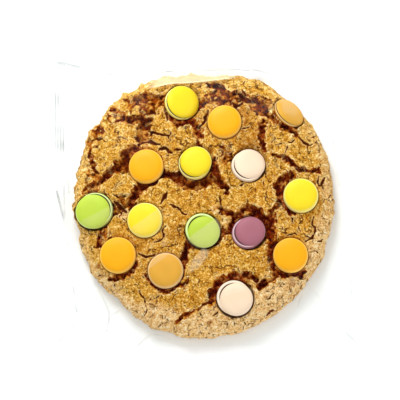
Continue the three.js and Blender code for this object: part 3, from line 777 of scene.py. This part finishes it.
# Layers of colour, one after another: what each is called, its share, what is below, and what is laid over.
CRUST_LAYERS = (
    ("crumb_colour", "broken", "moist_and_shaded", "baked"),
    ("crust", "tone", "golden", "yellow"),
    ("crust", "rim", "crust", "pale"),
    ("crust", "pores", "crust", "#7a4412"),
    # Darker patches, partly painted shade.
    ("crust", "stain_and_shade", "crust", "#96500c"),
    # Hairline cracks painted dark brown, with painted shade in them.
    ("crust", "hairline_colour", "crust", "#5a2406"),
    # Paler torn edges: sugar, with painted highlight where light catches them.
    ("crust", "frayed_and_lit", "crust", "sugar_and_highlight"),
    # The crevices' slope and core, darkened with painted shade.
    ("crust", "shoulder", "crust", "slope"),
    ("crust", "core", "crust", "crumb_colour"),
    # A pale band beside the fine cracks: painted highlight on their edges.
    ("crust", "crack_edge_highlight", "crust", "#f4cc80"),
    # Open fine cracks painted dark, with painted shade in them.
    ("crust", "open_crack", "crust", "#6a2a06"),
    ("crust", "seat_shadow", "crust", "#643008"),
    ("crust", "underside", "crust", "#b4742e"),
)


def crust_material(attributes):
    """Golden sugar-cookie crust: dry and matt, with a fine sandy grain."""
    material = new_material("baked_crust")
    place = add(material, "TexCoord", output="Object")
    made = {name: add(material, "Attribute", output="Fac", attribute_name=name) for name in attributes}
    for name, (size, detail, rough) in CRUST_GRAINS.items():
        made[name] = add(material, "TexNoise", {
            "Vector": place, "Scale": scale_of(size), "Detail": detail, "Roughness": rough}, "Fac")
    sway = add(material, "TexNoise",
               {"Vector": place, "Scale": scale_of(HAIRLINE_SWAY_SIZE), "Detail": 3}, "Color")
    swayed = add(material, "VectorMath", {0: sway, "Scale": HAIRLINE_SWAY * MM}, operation="SCALE")
    wander = add(material, "VectorMath", {0: place, 1: swayed}, operation="ADD")
    for name, size in HAIRLINE_CELLS.items():
        made[name] = add(material, "TexVoronoi", {"Vector": wander, "Scale": scale_of(size)},
                         "Distance", feature="DISTANCE_TO_EDGE")
    for name, value, factor, more in CRUST_SUMS:
        made[name] = add(material, "Math", {0: made[value], 1: factor, 2: made.get(more, more)},
                         operation="MULTIPLY_ADD")
    bands = {name: add(material, "MapRange", {
        "Value": made[value], "From Min": start, "From Max": end, "To Min": before, "To Max": after},
        interpolation_type="SMOOTHSTEP") for name, (value, start, end, before, after) in CRUST_BANDS.items()}
    made.update(bands)
    for name, operation, one, other in CRUST_PAIRS:
        made[name] = add(material, "Math", {0: made[one], 1: made.get(other, other)},
                         operation=operation)
    for name, (value, *stops) in CRUST_RAMPS.items():
        made[name] = add(material, "ValToRGB", {"Fac": made[value]}, "Color", stops)
    for name, factor, below, above in CRUST_LAYERS:
        made[name] = add(material, "Mix", {
            MIX_FACTOR: made[factor], MIX_A: made[below], MIX_B: made.get(above, above)}, MIX_OUT,
            data_type="RGBA")
    relief = add(material, "Bump", {"Height": made["height"], "Strength": 1.0, "Distance": 0.7 * MM})
    surface = add(material, "BsdfPrincipled", {
        "Base Color": made["crust"], "Normal": relief, "Roughness": 0.9, "Specular IOR Level": 0.05})
    add(material, "OutputMaterial", {"Surface": surface})
    return material


points, attributes, share = crust_geometry()
# The pale rim and patches: partly painted light, and painted glare.
attributes["rim"] = rim_paleness(points[:, 0], points[:, 1], share)
attributes["tone"] = crust_tone(points[:, 0], points[:, 1], share)
crust = mesh_object("cookie_crust", points, crust_faces(), attributes)
crust.data.materials.append(crust_material(attributes))
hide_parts("cookie")
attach(crust, "root")

# ---- The chocolate buttons ----
# Fifteen lens-shaped chocolates in a thin crisp sugar shell, pressed into the dough before it was baked. The
# oven cracked some shells round their upper edge, and there a line of chocolate shows under the cap.

# The sugar's colours: on the face, at the rim, lighter there as painted highlight, and where it is broken.
SHELLS = {
    "yellow": ("#e9ce1e", "#f8ec90", "#f3ea9c"),
    "orange": ("#eca502", "#fac658", "#f6d288"),
    "tan": ("#d29b34", "#ecca90", "#ecd09c"),
    "cream": ("#e9cfb3", "#f3e0c8", "#f0dfc8"),
    "green": ("#b0c63c", "#d8ea98", "#dcecb0"),
    "mauve": ("#a0626e", "#b88c98", "#dcc4c8"),
}
SUGAR_CLOUD_SIZE, SUGAR_SPECK_SIZE, CHOCOLATE_MOTTLE_SIZE = 5, 0.5, 0.8
# The cracked shells: the crack's direction, its width, and its height above the button's middle.
SHELL_CRACKS = {
    "button_01_yellow": (220, 0.2, 0.9), "button_03_tan": (217, 0.25, 0.2),
    "button_05_yellow": (225, 0.3, 1.4), "button_06_cream": (222, 0.6, 1.6),
    "button_08_green": (40, 0.4, 1.6), "button_10_green": (130, 0.95, 1.6),
    "button_11_mauve": (205, 0.7, 1.7), "button_15_cream": (140, 1.0, 1.6),
}
CHOCOLATE_LINE = 0.55
CHOCOLATE_DROP = 0.35  # how far the chocolate lies below the broken edge
CAP_LIFT = 0.12
THINNER = {"button_01_yellow": 0.75, "button_03_tan": 0.5, "button_06_cream": 0.8}  # these lean most
# Where the paler rim lies: painted highlight along each button's edge.
PALE_RIM_FROM, PALE_RIM_TO = 0.88, 0.99  # shares of the radius
SIDES = 84
SHARP_EDGE = 35


def shell_material(name, face, rim, lip):
    """Hard panned sugar, polished and then dulled by the oven: smooth, with a soft satin sheen."""
    material = new_material(f"{name}_sugar_shell")
    place = add(material, "TexCoord", output="Object")
    clouds, specks = (
        add(material, "TexNoise", {"Vector": place, "Scale": scale_of(size), "Detail": 2}, "Fac")
        for size in (SUGAR_CLOUD_SIZE, SUGAR_SPECK_SIZE))
    tone = face
    for attribute, over in (("rim", rim), ("bare", lip)):
        amount = add(material, "Attribute", output="Fac", attribute_name=attribute)
        tone = add(material, "Mix", {MIX_FACTOR: amount, MIX_A: tone, MIX_B: over}, MIX_OUT,
                   data_type="RGBA")
    value = add(material, "MapRange", {"Value": clouds, "To Min": 0.93, "To Max": 1.06})
    cloudy = add(material, "HueSaturation", {"Color": tone, "Value": value})
    relief = add(material, "Bump", {"Height": specks, "Strength": 0.25, "Distance": 0.1 * MM})
    surface = add(material, "BsdfPrincipled", {
        "Base Color": cloudy, "Normal": relief, "Roughness": 0.5, "Specular IOR Level": 0.2})
    add(material, "OutputMaterial", {"Surface": surface})
    return material


def chocolate_material():
    """Dark baked chocolate, dull in the crack."""
    material = new_material("dark_chocolate")
    place = add(material, "TexCoord", output="Object")
    mottle = add(material, "TexNoise",
                 {"Vector": place, "Scale": scale_of(CHOCOLATE_MOTTLE_SIZE), "Detail": 2}, "Fac")
    tone = add(material, "Mix", {MIX_FACTOR: mottle, MIX_A: "#2a0f05", MIX_B: "#5a2a14"}, MIX_OUT,
               data_type="RGBA")
    surface = add(material, "BsdfPrincipled", {"Base Color": tone, "Roughness": 0.5})
    add(material, "OutputMaterial", {"Surface": surface})
    return material


def section(radius, low=-1.0, high=1.0, rings=26):
    """A button's rounded section between two shares of its half height, from the lower to the higher."""
    turn = np.linspace(0, np.pi, 4 * rings + 1)
    up = -np.sign(np.cos(turn)) * np.abs(np.cos(turn)) ** (2 / BUTTON_FLATNESS)
    out = np.abs(np.sin(turn)) ** (2 / BUTTON_FLATNESS)
    length = np.concatenate([[0], np.cumsum(np.hypot(np.diff(up), np.diff(out)))])
    even = np.linspace(np.interp(low, up, length), np.interp(high, up, length), rings)
    return [(radius * np.interp(l, length, out), BUTTON_HALF_HEIGHT * np.interp(l, length, up)) for l in even]


def turned(outline, bare, materials):
    """A solid of revolution from its lowest point on the axis to its highest, and how bare each place is."""
    angle = np.arange(SIDES) * 2 * np.pi / SIDES
    rings = outline[1:-1]
    points = [(0, 0, outline[0][1])]
    for out, up in rings:
        points += [(out * math.cos(a), out * math.sin(a), up) for a in angle]
    points.append((0, 0, outline[-1][1]))
    last = len(points) - 1
    top = last - SIDES
    faces = []
    for i in range(SIDES):
        j = (i + 1) % SIDES
        faces.append((0, 1 + j, 1 + i))
        for a in range(1, top, SIDES):
            b = a + SIDES
            faces.append((a + i, a + j, b + j, b + i))
        faces.append((top + i, top + j, last))
    mesh = bpy.data.meshes.new("button")
    mesh.from_pydata(points, [], faces)
    layer = mesh.attributes.new("bare", "FLOAT", "POINT")
    layer.data.foreach_set("value", [float(bare(v.co)) for v in mesh.vertices])
    for material in materials:
        mesh.materials.append(material)
    piece = bpy.data.objects.new("button", mesh)
    bpy.context.scene.collection.objects.link(piece)
    return piece


def whole_button(radius, materials):
    outline = section(radius)
    return turned([(0, outline[0][1])] + outline[1:-1] + [(0, outline[-1][1])], lambda point: 0, materials)


def cracked_button(radius, towards, width, crack_height, materials):
    """The lower shell with chocolate in its open top, and the cap that slid a little off it."""
    shift = (width + CHOCOLATE_LINE) / 2
    radius -= shift
    cut = crack_height / BUTTON_HALF_HEIGHT
    below = section(radius, -1, cut)
    edge, height = below[-1]
    inner = edge - width
    filled = height - CHOCOLATE_DROP

    def broken_edge(point):
        return (point.z > height + 0.05) * (0.9 if math.hypot(*point.xy) > edge - 0.27 else 0.15)

    lip = [(edge - 0.1, height + 0.12), (edge - 0.25, height + 0.18), (inner + 0.12, height + 0.14),
           (inner, height + 0.02), (inner - 0.04, filled)]
    lower = turned([(0, below[0][1])] + below[1:] + lip + [(0, filled)], broken_edge, materials)
    for face in lower.data.polygons:
        within = math.hypot(*face.center.xy) < inner - 0.02
        face.material_index = int(face.center.z > filled - 0.02 and within)
    above = section(radius, cut, 1)
    out, up = above[0]
    rounded = [(0, up), (out - 0.3, up), (out, up + CAP_LIFT)]
    cap = turned(rounded + above[1:-1] + [(0, above[-1][1])], lambda point: 0, materials)
    direction = math.radians(towards)
    slide = Vector((shift * math.cos(direction), shift * math.sin(direction), 0))
    lower.data.transform(Matrix.Translation(slide))
    cap.data.transform(Matrix.Translation(Vector((0, 0, CAP_LIFT)) - slide))
    bpy.ops.object.select_all(action="DESELECT")
    lower.select_set(True)
    cap.select_set(True)
    bpy.context.view_layer.objects.active = lower
    bpy.ops.object.join()
    return lower


shell_materials = {name: shell_material(name, *tones) for name, tones in SHELLS.items()}
chocolate = chocolate_material()
for node, middle, axis, radius in seats:
    shell_name = node.rsplit("_", 1)[1]
    materials = shell_materials[shell_name], chocolate
    if node in SHELL_CRACKS:
        button = cracked_button(radius, *SHELL_CRACKS[node], materials)
    else:
        button = whole_button(radius, materials)
    button.name = button.data.name = node.replace("button", "shell")
    thinness = THINNER.get(node, 1)
    # A paler rim, painted highlight, weaker on the thinner buttons.
    rim = button.data.attributes.new("rim", "FLOAT", "POINT")
    out = np.array([math.hypot(v.co.x, v.co.y) / radius for v in button.data.vertices])
    paleness = step(PALE_RIM_FROM, PALE_RIM_TO, out) * thinness ** 2
    rim.data.foreach_set("value", paleness.astype(np.float32))
    turn = Vector((0, 0, 1)).rotation_difference(axis).to_matrix().to_4x4()
    button.data.transform(
        Matrix.Translation(placed(middle)) @ Matrix.Diagonal((MM, MM, MM, 1)) @ turn
        @ Matrix.Diagonal((1, 1, thinness, 1)))
    bpy.ops.object.select_all(action="DESELECT")
    button.select_set(True)
    bpy.context.view_layer.objects.active = button
    bpy.ops.object.shade_smooth_by_angle(angle=math.radians(SHARP_EDGE))
    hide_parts(node)
    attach(button, "root")

# ---- The film bag ----
# A bag of thin clear film, sealed flat along its left side and drawn over the cookie and its buttons. It
# creases towards the corners. Painted glare lies on it in white patches and along folds, and its creases and
# seal carry grey and white lines, partly the film's own whitening and partly painted reflection.

# The bag's corners, from the far right one round to the left.
BAG_CORNERS = ((58.5, 61.5), (-68.5, 67.5), (-68, -62.5), (66, -62))
BAG_EDGE_BOW = (1, 1, 0.5, 2)  # how far each side bows inwards, from the far one round to the left
FILM_CELLS = 300
FILM_COARSE_STEP = 6
FILM_COARSE_ROUNDS, FILM_FINE_ROUNDS = 900, 160
FILM_CLEARANCE = 0.12
FILM_EDGE_HEIGHT = 0.35
FILM_TOP = 16.98
BACK_CELLS = 40
BACK_HEIGHT = 0.05
HEIGHT_CELL, HEIGHT_CELLS = 0.8, 200  # the grid on which the crust's height is looked up
WAVES = ((9, 0.5, 83), (3.5, 0.25, 84))  # size, height and seed
CREASE_WANDER = ((6, 0.4),)
CREASE_WHITE, CREASE_SPREAD, SEAL_WHITE, SEAL_SPREAD = 1.4, 1.3, 0.5, 0.5
WHITEST = 0.85
GLARE_PATCH_EDGE, GLARE_PATCH_RAGS = (0.6, 1.1), ((2.5, 0.25),)
FACE_EDGE = 0.93, 1.02  # the shares of a button's radius between which glare ends

# Creases: width, height and the whiteness of their line, partly painted reflection, then the points they run
# through.
CREASES = (
    (0.4, 0.8, 0.5, (-65.7, 8.2), (-61.3, -9.6), (-58.7, -30.5), (-56.5, -46.1)),
    (0.4, 0.6, 0.3, (-61.8, 21.5), (-62.2, 5.9), (-60.9, -14)),
    (0.5, 1.0, 0.4, (-46.5, -38), (-43.5, -43), (-41.8, -48.3), (-43, -55)),
    (0.4, 0.8, 0.3, (44, -36), (41.7, -41.6), (40, -46)),
    (0.4, 0.6, 0.3, (62.2, -28.3), (63.4, -40), (65.4, -54)),
    (0.5, 0.9, 0.4, (-66, 66), (-55, 64), (-42, 59.3), (-31, 55.7)),
    (0.4, 0.8, 0.2, (-64, 60), (-52, 55), (-41, 48)),
    (0.4, 0.8, 0.3, (-48.7, 46), (-56.7, 33.4), (-60.4, 19.3), (-60, 6)),
    (0.5, 0.9, 0.5, (20.9, 60.6), (33, 57), (41.4, 50.4)),
    (0.4, 0.7, 0.2, (57, 60), (49, 50), (44, 42)),
    (0.4, 0.6, 0.3, (55.5, 50), (55, 36), (56, 22), (58, 8)),
    (0.5, 0.8, 0.2, (-66, -60), (-56, -50), (-46, -40)),
    (0.4, 0.7, 0.2, (-60, -61), (-50, -54), (-38, -47)),
    (0.5, 0.8, 0.2, (64, -60), (54, -50), (46, -38)),
    (0.4, 0.5, 0.2, (-30, -61), (-24, -57), (-16, -59)),
    (0.4, 0.4, 0.5, (-24, 59), (-10, 60.3), (6, 60), (22, 60.5)),
)
# Soft patches of painted glare where the film reflects the light: x, y, reach along and across, turn in
# degrees, and how white.
GLARE_PATCHES = (
    (-2.3, -26.5, 7.0, 2.2, 52, 0.24), (-17.5, -19, 1.5, 1.5, 0, 0.12), (36.5, 41, 5, 3.4, 127, 0.13),
)
# Glare with a sharp edge along a fold: the fold's ends, how far it fades to the right of it, and how white.
GLARES = (
    (-25, -31, -12.5, -21.8, -7, 0.16), (-7.5, -17.5, 6, -7.5, 20, 0.2), (-32.5, -12.5, -19, -3, 10, 0.13),
    (-55, -8.5, -41, -1.5, 10, 0.13), (5, -43.5, 21, -38.5, 7, 0.12), (-26, 51.0, 14.8, 55.6, -14, 0.5),
)
FOLD_WHITE = 0.3  # a glare whiter than this is a fold of double film, and shows beside the buttons too
SEAL_LINES = (-66.8, -65.6, -64.4, -63.2)
SEAL_RIGHT, SEAL_LEFT, SEAL_LOW, SEAL_HIGH = -62.2, -62.8, 18, 26  # where the seal fades in


def bag_place(u, v):
    """Where a share across and a share up the bag lie."""
    far_right, far_left, near_left, near_right = BAG_CORNERS
    x, y = ((1 - u) * (1 - v) * near_left[k] + u * (1 - v) * near_right[k]
            + u * v * far_right[k] + (1 - u) * v * far_left[k] for k in (0, 1))
    far, left, near, right = BAG_EDGE_BOW
    bow_u, bow_v = 4 * u * (1 - u), 4 * v * (1 - v)
    return x + bow_v * (left * (1 - u) - right * u), y + bow_u * (near * (1 - v) - far * v)


def grid_faces(cells, offset=0, downwards=False):
    i, j = np.meshgrid(np.arange(cells), np.arange(cells))
    a = offset + (j * (cells + 1) + i).ravel()
    b, c, d = a + 1, a + cells + 2, a + cells + 1
    return np.stack([a, d, c, b] if downwards else [a, b, c, d], 1)


def contents_height(x, y, crust_points):
    """How high the crust and buttons reach below each place on the film."""
    heights = np.zeros((HEIGHT_CELLS, HEIGHT_CELLS))
    i, j = ((crust_points[:, k] / HEIGHT_CELL + HEIGHT_CELLS / 2).astype(int) for k in (0, 1))
    np.maximum.at(heights, (i, j), crust_points[:, 2])
    spread = heights.copy()
    for di in (-1, 0, 1):
        for dj in (-1, 0, 1):
            spread = np.maximum(spread, np.roll(np.roll(heights, di, 0), dj, 1))
    under = spread[tuple((place / HEIGHT_CELL + HEIGHT_CELLS / 2).astype(int) for place in (x, y))]
    for _, middle, axis, radius in seats:
        away, drop = from_button(x, y, middle, axis)
        out = away / (radius + 0.3)
        top = BUTTON_HALF_HEIGHT * np.maximum(0, 1 - out ** BUTTON_FLATNESS) ** 0.465
        under = np.where(out < 1, np.maximum(under, middle.z - drop + top / axis.z), under)
    return under


def neighbours_mean(grid, rounds):
    for _ in range(rounds):
        grid[1:-1, 1:-1] = (grid[:-2, 1:-1] + grid[2:, 1:-1] + grid[1:-1, :-2] + grid[1:-1, 2:]) / 4
    return grid


def neighbours_highest(grid, rounds):
    for _ in range(rounds):
        grid[1:-1, 1:-1] = np.max([
            grid[1:-1, 1:-1], grid[:-2, 1:-1], grid[2:, 1:-1], grid[1:-1, :-2], grid[1:-1, 2:]], 0)
    return grid


def wrapped(heights):
    """The smooth surface that film makes over grains and crumbs, without their bumps."""
    over = neighbours_mean(neighbours_highest(heights.copy(), 4), 14)
    for _ in range(3):
        short = neighbours_highest(np.maximum(0, heights - over), 4)
        over += neighbours_mean(short, 10)
    return over


def stretched(film, under, rounds):
    """Film pulled flat over what is under it: each place settles at its neighbours' mean height."""
    for _ in range(rounds):
        neighbours_mean(film, 1)
        film[1:-1, 1:-1] = np.maximum(film[1:-1, 1:-1], under[1:-1, 1:-1])
    return film


def film_whiteness(x, y):
    """The film's painted glare: soft patches, and glare and fold lines beside a fold, some only over the
    buttons.
    """
    glare_and_fold_lines = np.zeros(x.shape)
    for hx, hy, reach_x, reach_y, turn, white in GLARE_PATCHES:
        c, s = math.cos(math.radians(turn)), math.sin(math.radians(turn))
        px, py = (x - hx) * c + (y - hy) * s, (y - hy) * c - (x - hx) * s
        apart = np.hypot(px / reach_x, py / reach_y) + layered(x, y, 85, GLARE_PATCH_RAGS)
        glare_and_fold_lines = np.maximum(glare_and_fold_lines, white * (1 - step(*GLARE_PATCH_EDGE, apart)))
    faces = [(middle.x, middle.y, radius, 1) for _, middle, _, radius in seats]
    over_button = patches(x, y, faces, *FACE_EDGE)
    for x0, y0, x1, y1, fade, white in GLARES:
        length = math.hypot(x1 - x0, y1 - y0)
        along = ((x - x0) * (x1 - x0) + (y - y0) * (y1 - y0)) / length
        right = ((x - x0) * (y1 - y0) - (y - y0) * (x1 - x0)) / length * math.copysign(1, fade)
        glare = white * step(-0.2, 0.3, right) * (1 - step(0, abs(fade), right))
        fade_in = max(1.5, length / 6)
        ends = step(-1.5, fade_in, along) * step(-1.5, fade_in, length - along)
        if white > FOLD_WHITE:
            fold = min(1, 1.7 * white) * np.exp(-((right - 0.3) / 0.35) ** 2)
            glare_and_fold_lines = np.maximum(glare_and_fold_lines, np.maximum(glare, fold) * ends)
        else:
            glare_and_fold_lines = np.maximum(glare_and_fold_lines, glare * ends * over_button)
    return glare_and_fold_lines


def film_geometry(crust_points):
    """The film's front over the contents and its flat back, and its painted glare and crease lines at each
    place.
    """
    film_share = np.linspace(0, 1, FILM_CELLS + 1)
    u, v = np.meshgrid(film_share, film_share)
    x, y = bag_place(u, v)
    under = wrapped(contents_height(x, y, crust_points)) + FILM_CLEARANCE
    coarse_under = under[::FILM_COARSE_STEP, ::FILM_COARSE_STEP]
    coarse = stretched(np.maximum(coarse_under, FILM_EDGE_HEIGHT), coarse_under, FILM_COARSE_ROUNDS)
    places, known = np.arange(FILM_CELLS + 1) / FILM_COARSE_STEP, np.arange(len(coarse))
    rows = np.array([np.interp(places, known, row) for row in coarse])
    smooth = np.array([np.interp(places, known, column) for column in rows.T]).T
    z = stretched(np.maximum(smooth, under), under, FILM_FINE_ROUNDS)
    z[0], z[-1], z[:, 0], z[:, -1] = (FILM_EDGE_HEIGHT,) * 4

    x, y, z = x.ravel(), y.ravel(), z.ravel()
    from_edge = np.min([u, 1 - u, v, 1 - v], 0).ravel()
    free = step(0, 1.5, z - under.ravel()) * step(0, 0.02, from_edge)
    wx, wy = x + layered(x, y, 81, CREASE_WANDER), y + layered(x, y, 82, CREASE_WANDER)
    seen = 0.25 + 0.75 * step(-0.5, 0.5, turned_noise(x, y, 9, 86)) + 0.4 * turned_noise(x, y, 4, 87)
    lift = np.zeros(x.shape)
    crease = np.zeros(x.shape)
    for width, height, white, *corners in CREASES:
        away = np.maximum(0, -inside_line(wx, wy, 0, corners, reach=8))
        lift += height * np.exp(-away / width)
        line = np.exp(-(away / (CREASE_SPREAD * width)) ** 2)
        crease = np.maximum(crease, CREASE_WHITE * white * seen * line)
    for size, height, seed in WAVES:
        lift += height * np.abs(turned_noise(wx, wy, size, seed)) * free
    seal = step(SEAL_RIGHT, SEAL_LEFT, x) * step(SEAL_LOW, SEAL_HIGH, y)
    for place in SEAL_LINES:
        line = np.exp(-((x - place) / SEAL_SPREAD) ** 2)
        crease = np.maximum(crease, SEAL_WHITE * seal * seen * line)
    z = np.minimum(z, FILM_TOP)
    z = np.where(seal > 0, z * (1 - seal) + FILM_EDGE_HEIGHT * seal, z)
    z = np.minimum(z + lift * np.maximum(free, 0.05) * (1 - seal), FILM_TOP)
    glare_and_fold_lines = np.clip(np.maximum(film_whiteness(x, y), crease), 0, WHITEST)

    back_share = np.linspace(0, 1, BACK_CELLS + 1)
    back_x, back_y = bag_place(*[g.ravel() for g in np.meshgrid(back_share, back_share)])
    front = np.stack([x, y, z], 1)
    back = np.stack([back_x, back_y, np.full(back_x.shape, BACK_HEIGHT)], 1)
    faces = np.vstack([grid_faces(FILM_CELLS), grid_faces(BACK_CELLS, len(front), downwards=True)])
    rest = np.zeros(len(back))
    film_glare_and_creases = {"glare_and_fold_lines": np.concatenate([glare_and_fold_lines, rest]),
                  "crease": np.concatenate([np.clip(4 * crease, 0, 1), rest])}
    return np.vstack([front, back]), faces, film_glare_and_creases


def film_material():
    """Thin clear polypropylene film: its gloss grows towards grazing; painted glare shows cream white, crease
    lines grey.
    """
    material = new_material("clear_film")
    clear = add(material, "BsdfTransparent", {"Color": (0.985, 0.992, 0.992, 1)})
    gloss = add(material, "BsdfGlossy", {"Color": (1, 1, 1, 1), "Roughness": 0.22})
    fresnel = add(material, "Fresnel", {"IOR": 1.45})
    thin = add(material, "MapRange", {
        "Value": fresnel, "From Min": 0.03, "From Max": 0.6, "To Min": 0.001, "To Max": 0.14})
    shine = add(material, "MixShader", {"Fac": thin, 1: clear, 2: gloss})
    # Crease and seal lines turn the film's white grey: partly its own whitening, partly painted reflection.
    crease = add(material, "Attribute", output="Fac", attribute_name="crease")
    tone = add(material, "Mix", {MIX_FACTOR: crease, MIX_A: "#efe3bc", MIX_B: "#8d9295"}, MIX_OUT,
               data_type="RGBA")
    white = add(material, "BsdfDiffuse", {"Color": tone})
    glare_and_fold_lines = add(material, "Attribute", output="Fac", attribute_name="glare_and_fold_lines")
    film_look = add(material, "MixShader", {"Fac": glare_and_fold_lines, 1: shine, 2: white})
    add(material, "OutputMaterial", {"Surface": film_look})
    return material


film_points, film_faces, film_glare_and_creases = film_geometry(points)
film = mesh_object("film", film_points, film_faces, film_glare_and_creases)
film.data.materials.append(film_material())
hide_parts("film_bag")
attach(film, "root")
